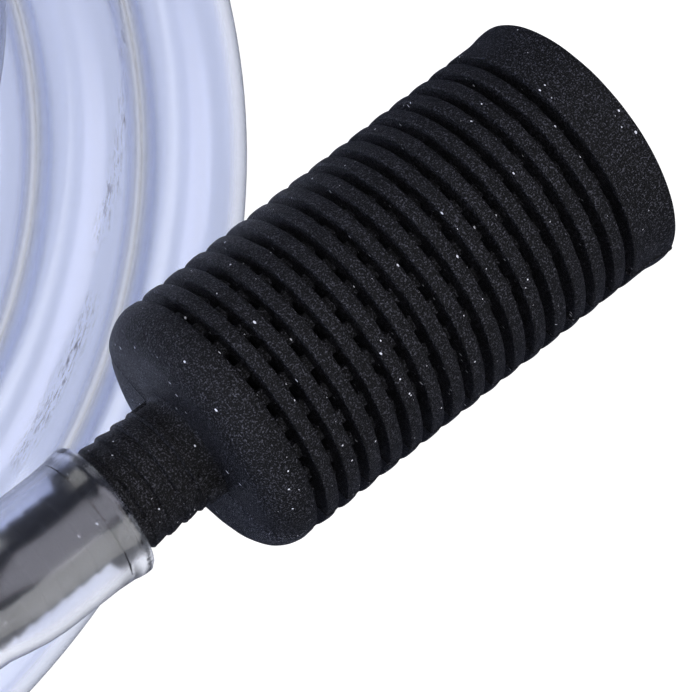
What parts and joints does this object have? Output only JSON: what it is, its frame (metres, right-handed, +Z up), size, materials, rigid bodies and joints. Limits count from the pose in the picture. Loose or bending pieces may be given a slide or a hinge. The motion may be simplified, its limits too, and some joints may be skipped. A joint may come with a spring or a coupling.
{
  "type": "gravel vacuum siphon",
  "caption": "Aquarium gravel vacuum siphon: slotted suction strainer with a self-priming ball valve, coiled clear hose and a flow tap.",
  "frame": {"origin": "centre of the strainer's bounding box, on the surface that the siphon lies on", "axes": "+X along the strainer in plan, from the hose towards its open end; +Z up; the coil lies on the +Y side"},
  "size_m": [0.188, 0.1891, 0.0397],
  "materials": {
    "black_pp": "moulded polypropylene with a fine grain",
    "clear_pvc": "clear soft vinyl hose with a faint blue tint",
    "white_nylon": "moulded natural nylon",
    "tie_strap": "soft strap",
    "steel": "stainless steel",
    "tap_shell": "moulded polypropylene with a fine grain",
    "tap_handle": "moulded ABS lever",
    "seal_rubber": "nitrile rubber"
  },
  "bodies": {
    "siphon": {"strainer_body": "black_pp", "valve_seat": "white_nylon", "valve_stop": "white_nylon", "hose_end": "clear_pvc", "hose_lead": "clear_pvc", "hose_coil": "clear_pvc", "hose_run": "clear_pvc", "coil_tie_left": "tie_strap", "coil_tie_right": "tie_strap", "hose_clamp": "steel", "clamp_screw": "steel", "tap_body": "tap_shell"},
    "cap": {"end_cap": "black_pp"},
    "ball": {"valve_ball": "white_nylon"},
    "cock": {"tap_plug": "white_nylon", "plug_seal_upper": "seal_rubber", "plug_seal_lower": "seal_rubber", "plug_clip": "steel", "tap_lever": "tap_handle", "lever_screw": "steel"}
  },
  "joints": [
    {"name": "cap_pull", "type": "slide", "parent": "siphon", "child": "cap", "axis": [0.9848, 0, -0.1736], "range_m": [0, 0.008]},
    {"name": "ball_float", "type": "slide", "parent": "siphon", "child": "ball", "axis": [-0.9848, 0, 0.1736], "range_m": [0, 0.002]},
    {"name": "tap_turn", "type": "hinge", "parent": "siphon", "child": "cock", "pos_m": [-0.0803, 0.0554, 0.008], "axis": [0, 0, -1], "range_deg": [0, 90]}
  ]
}
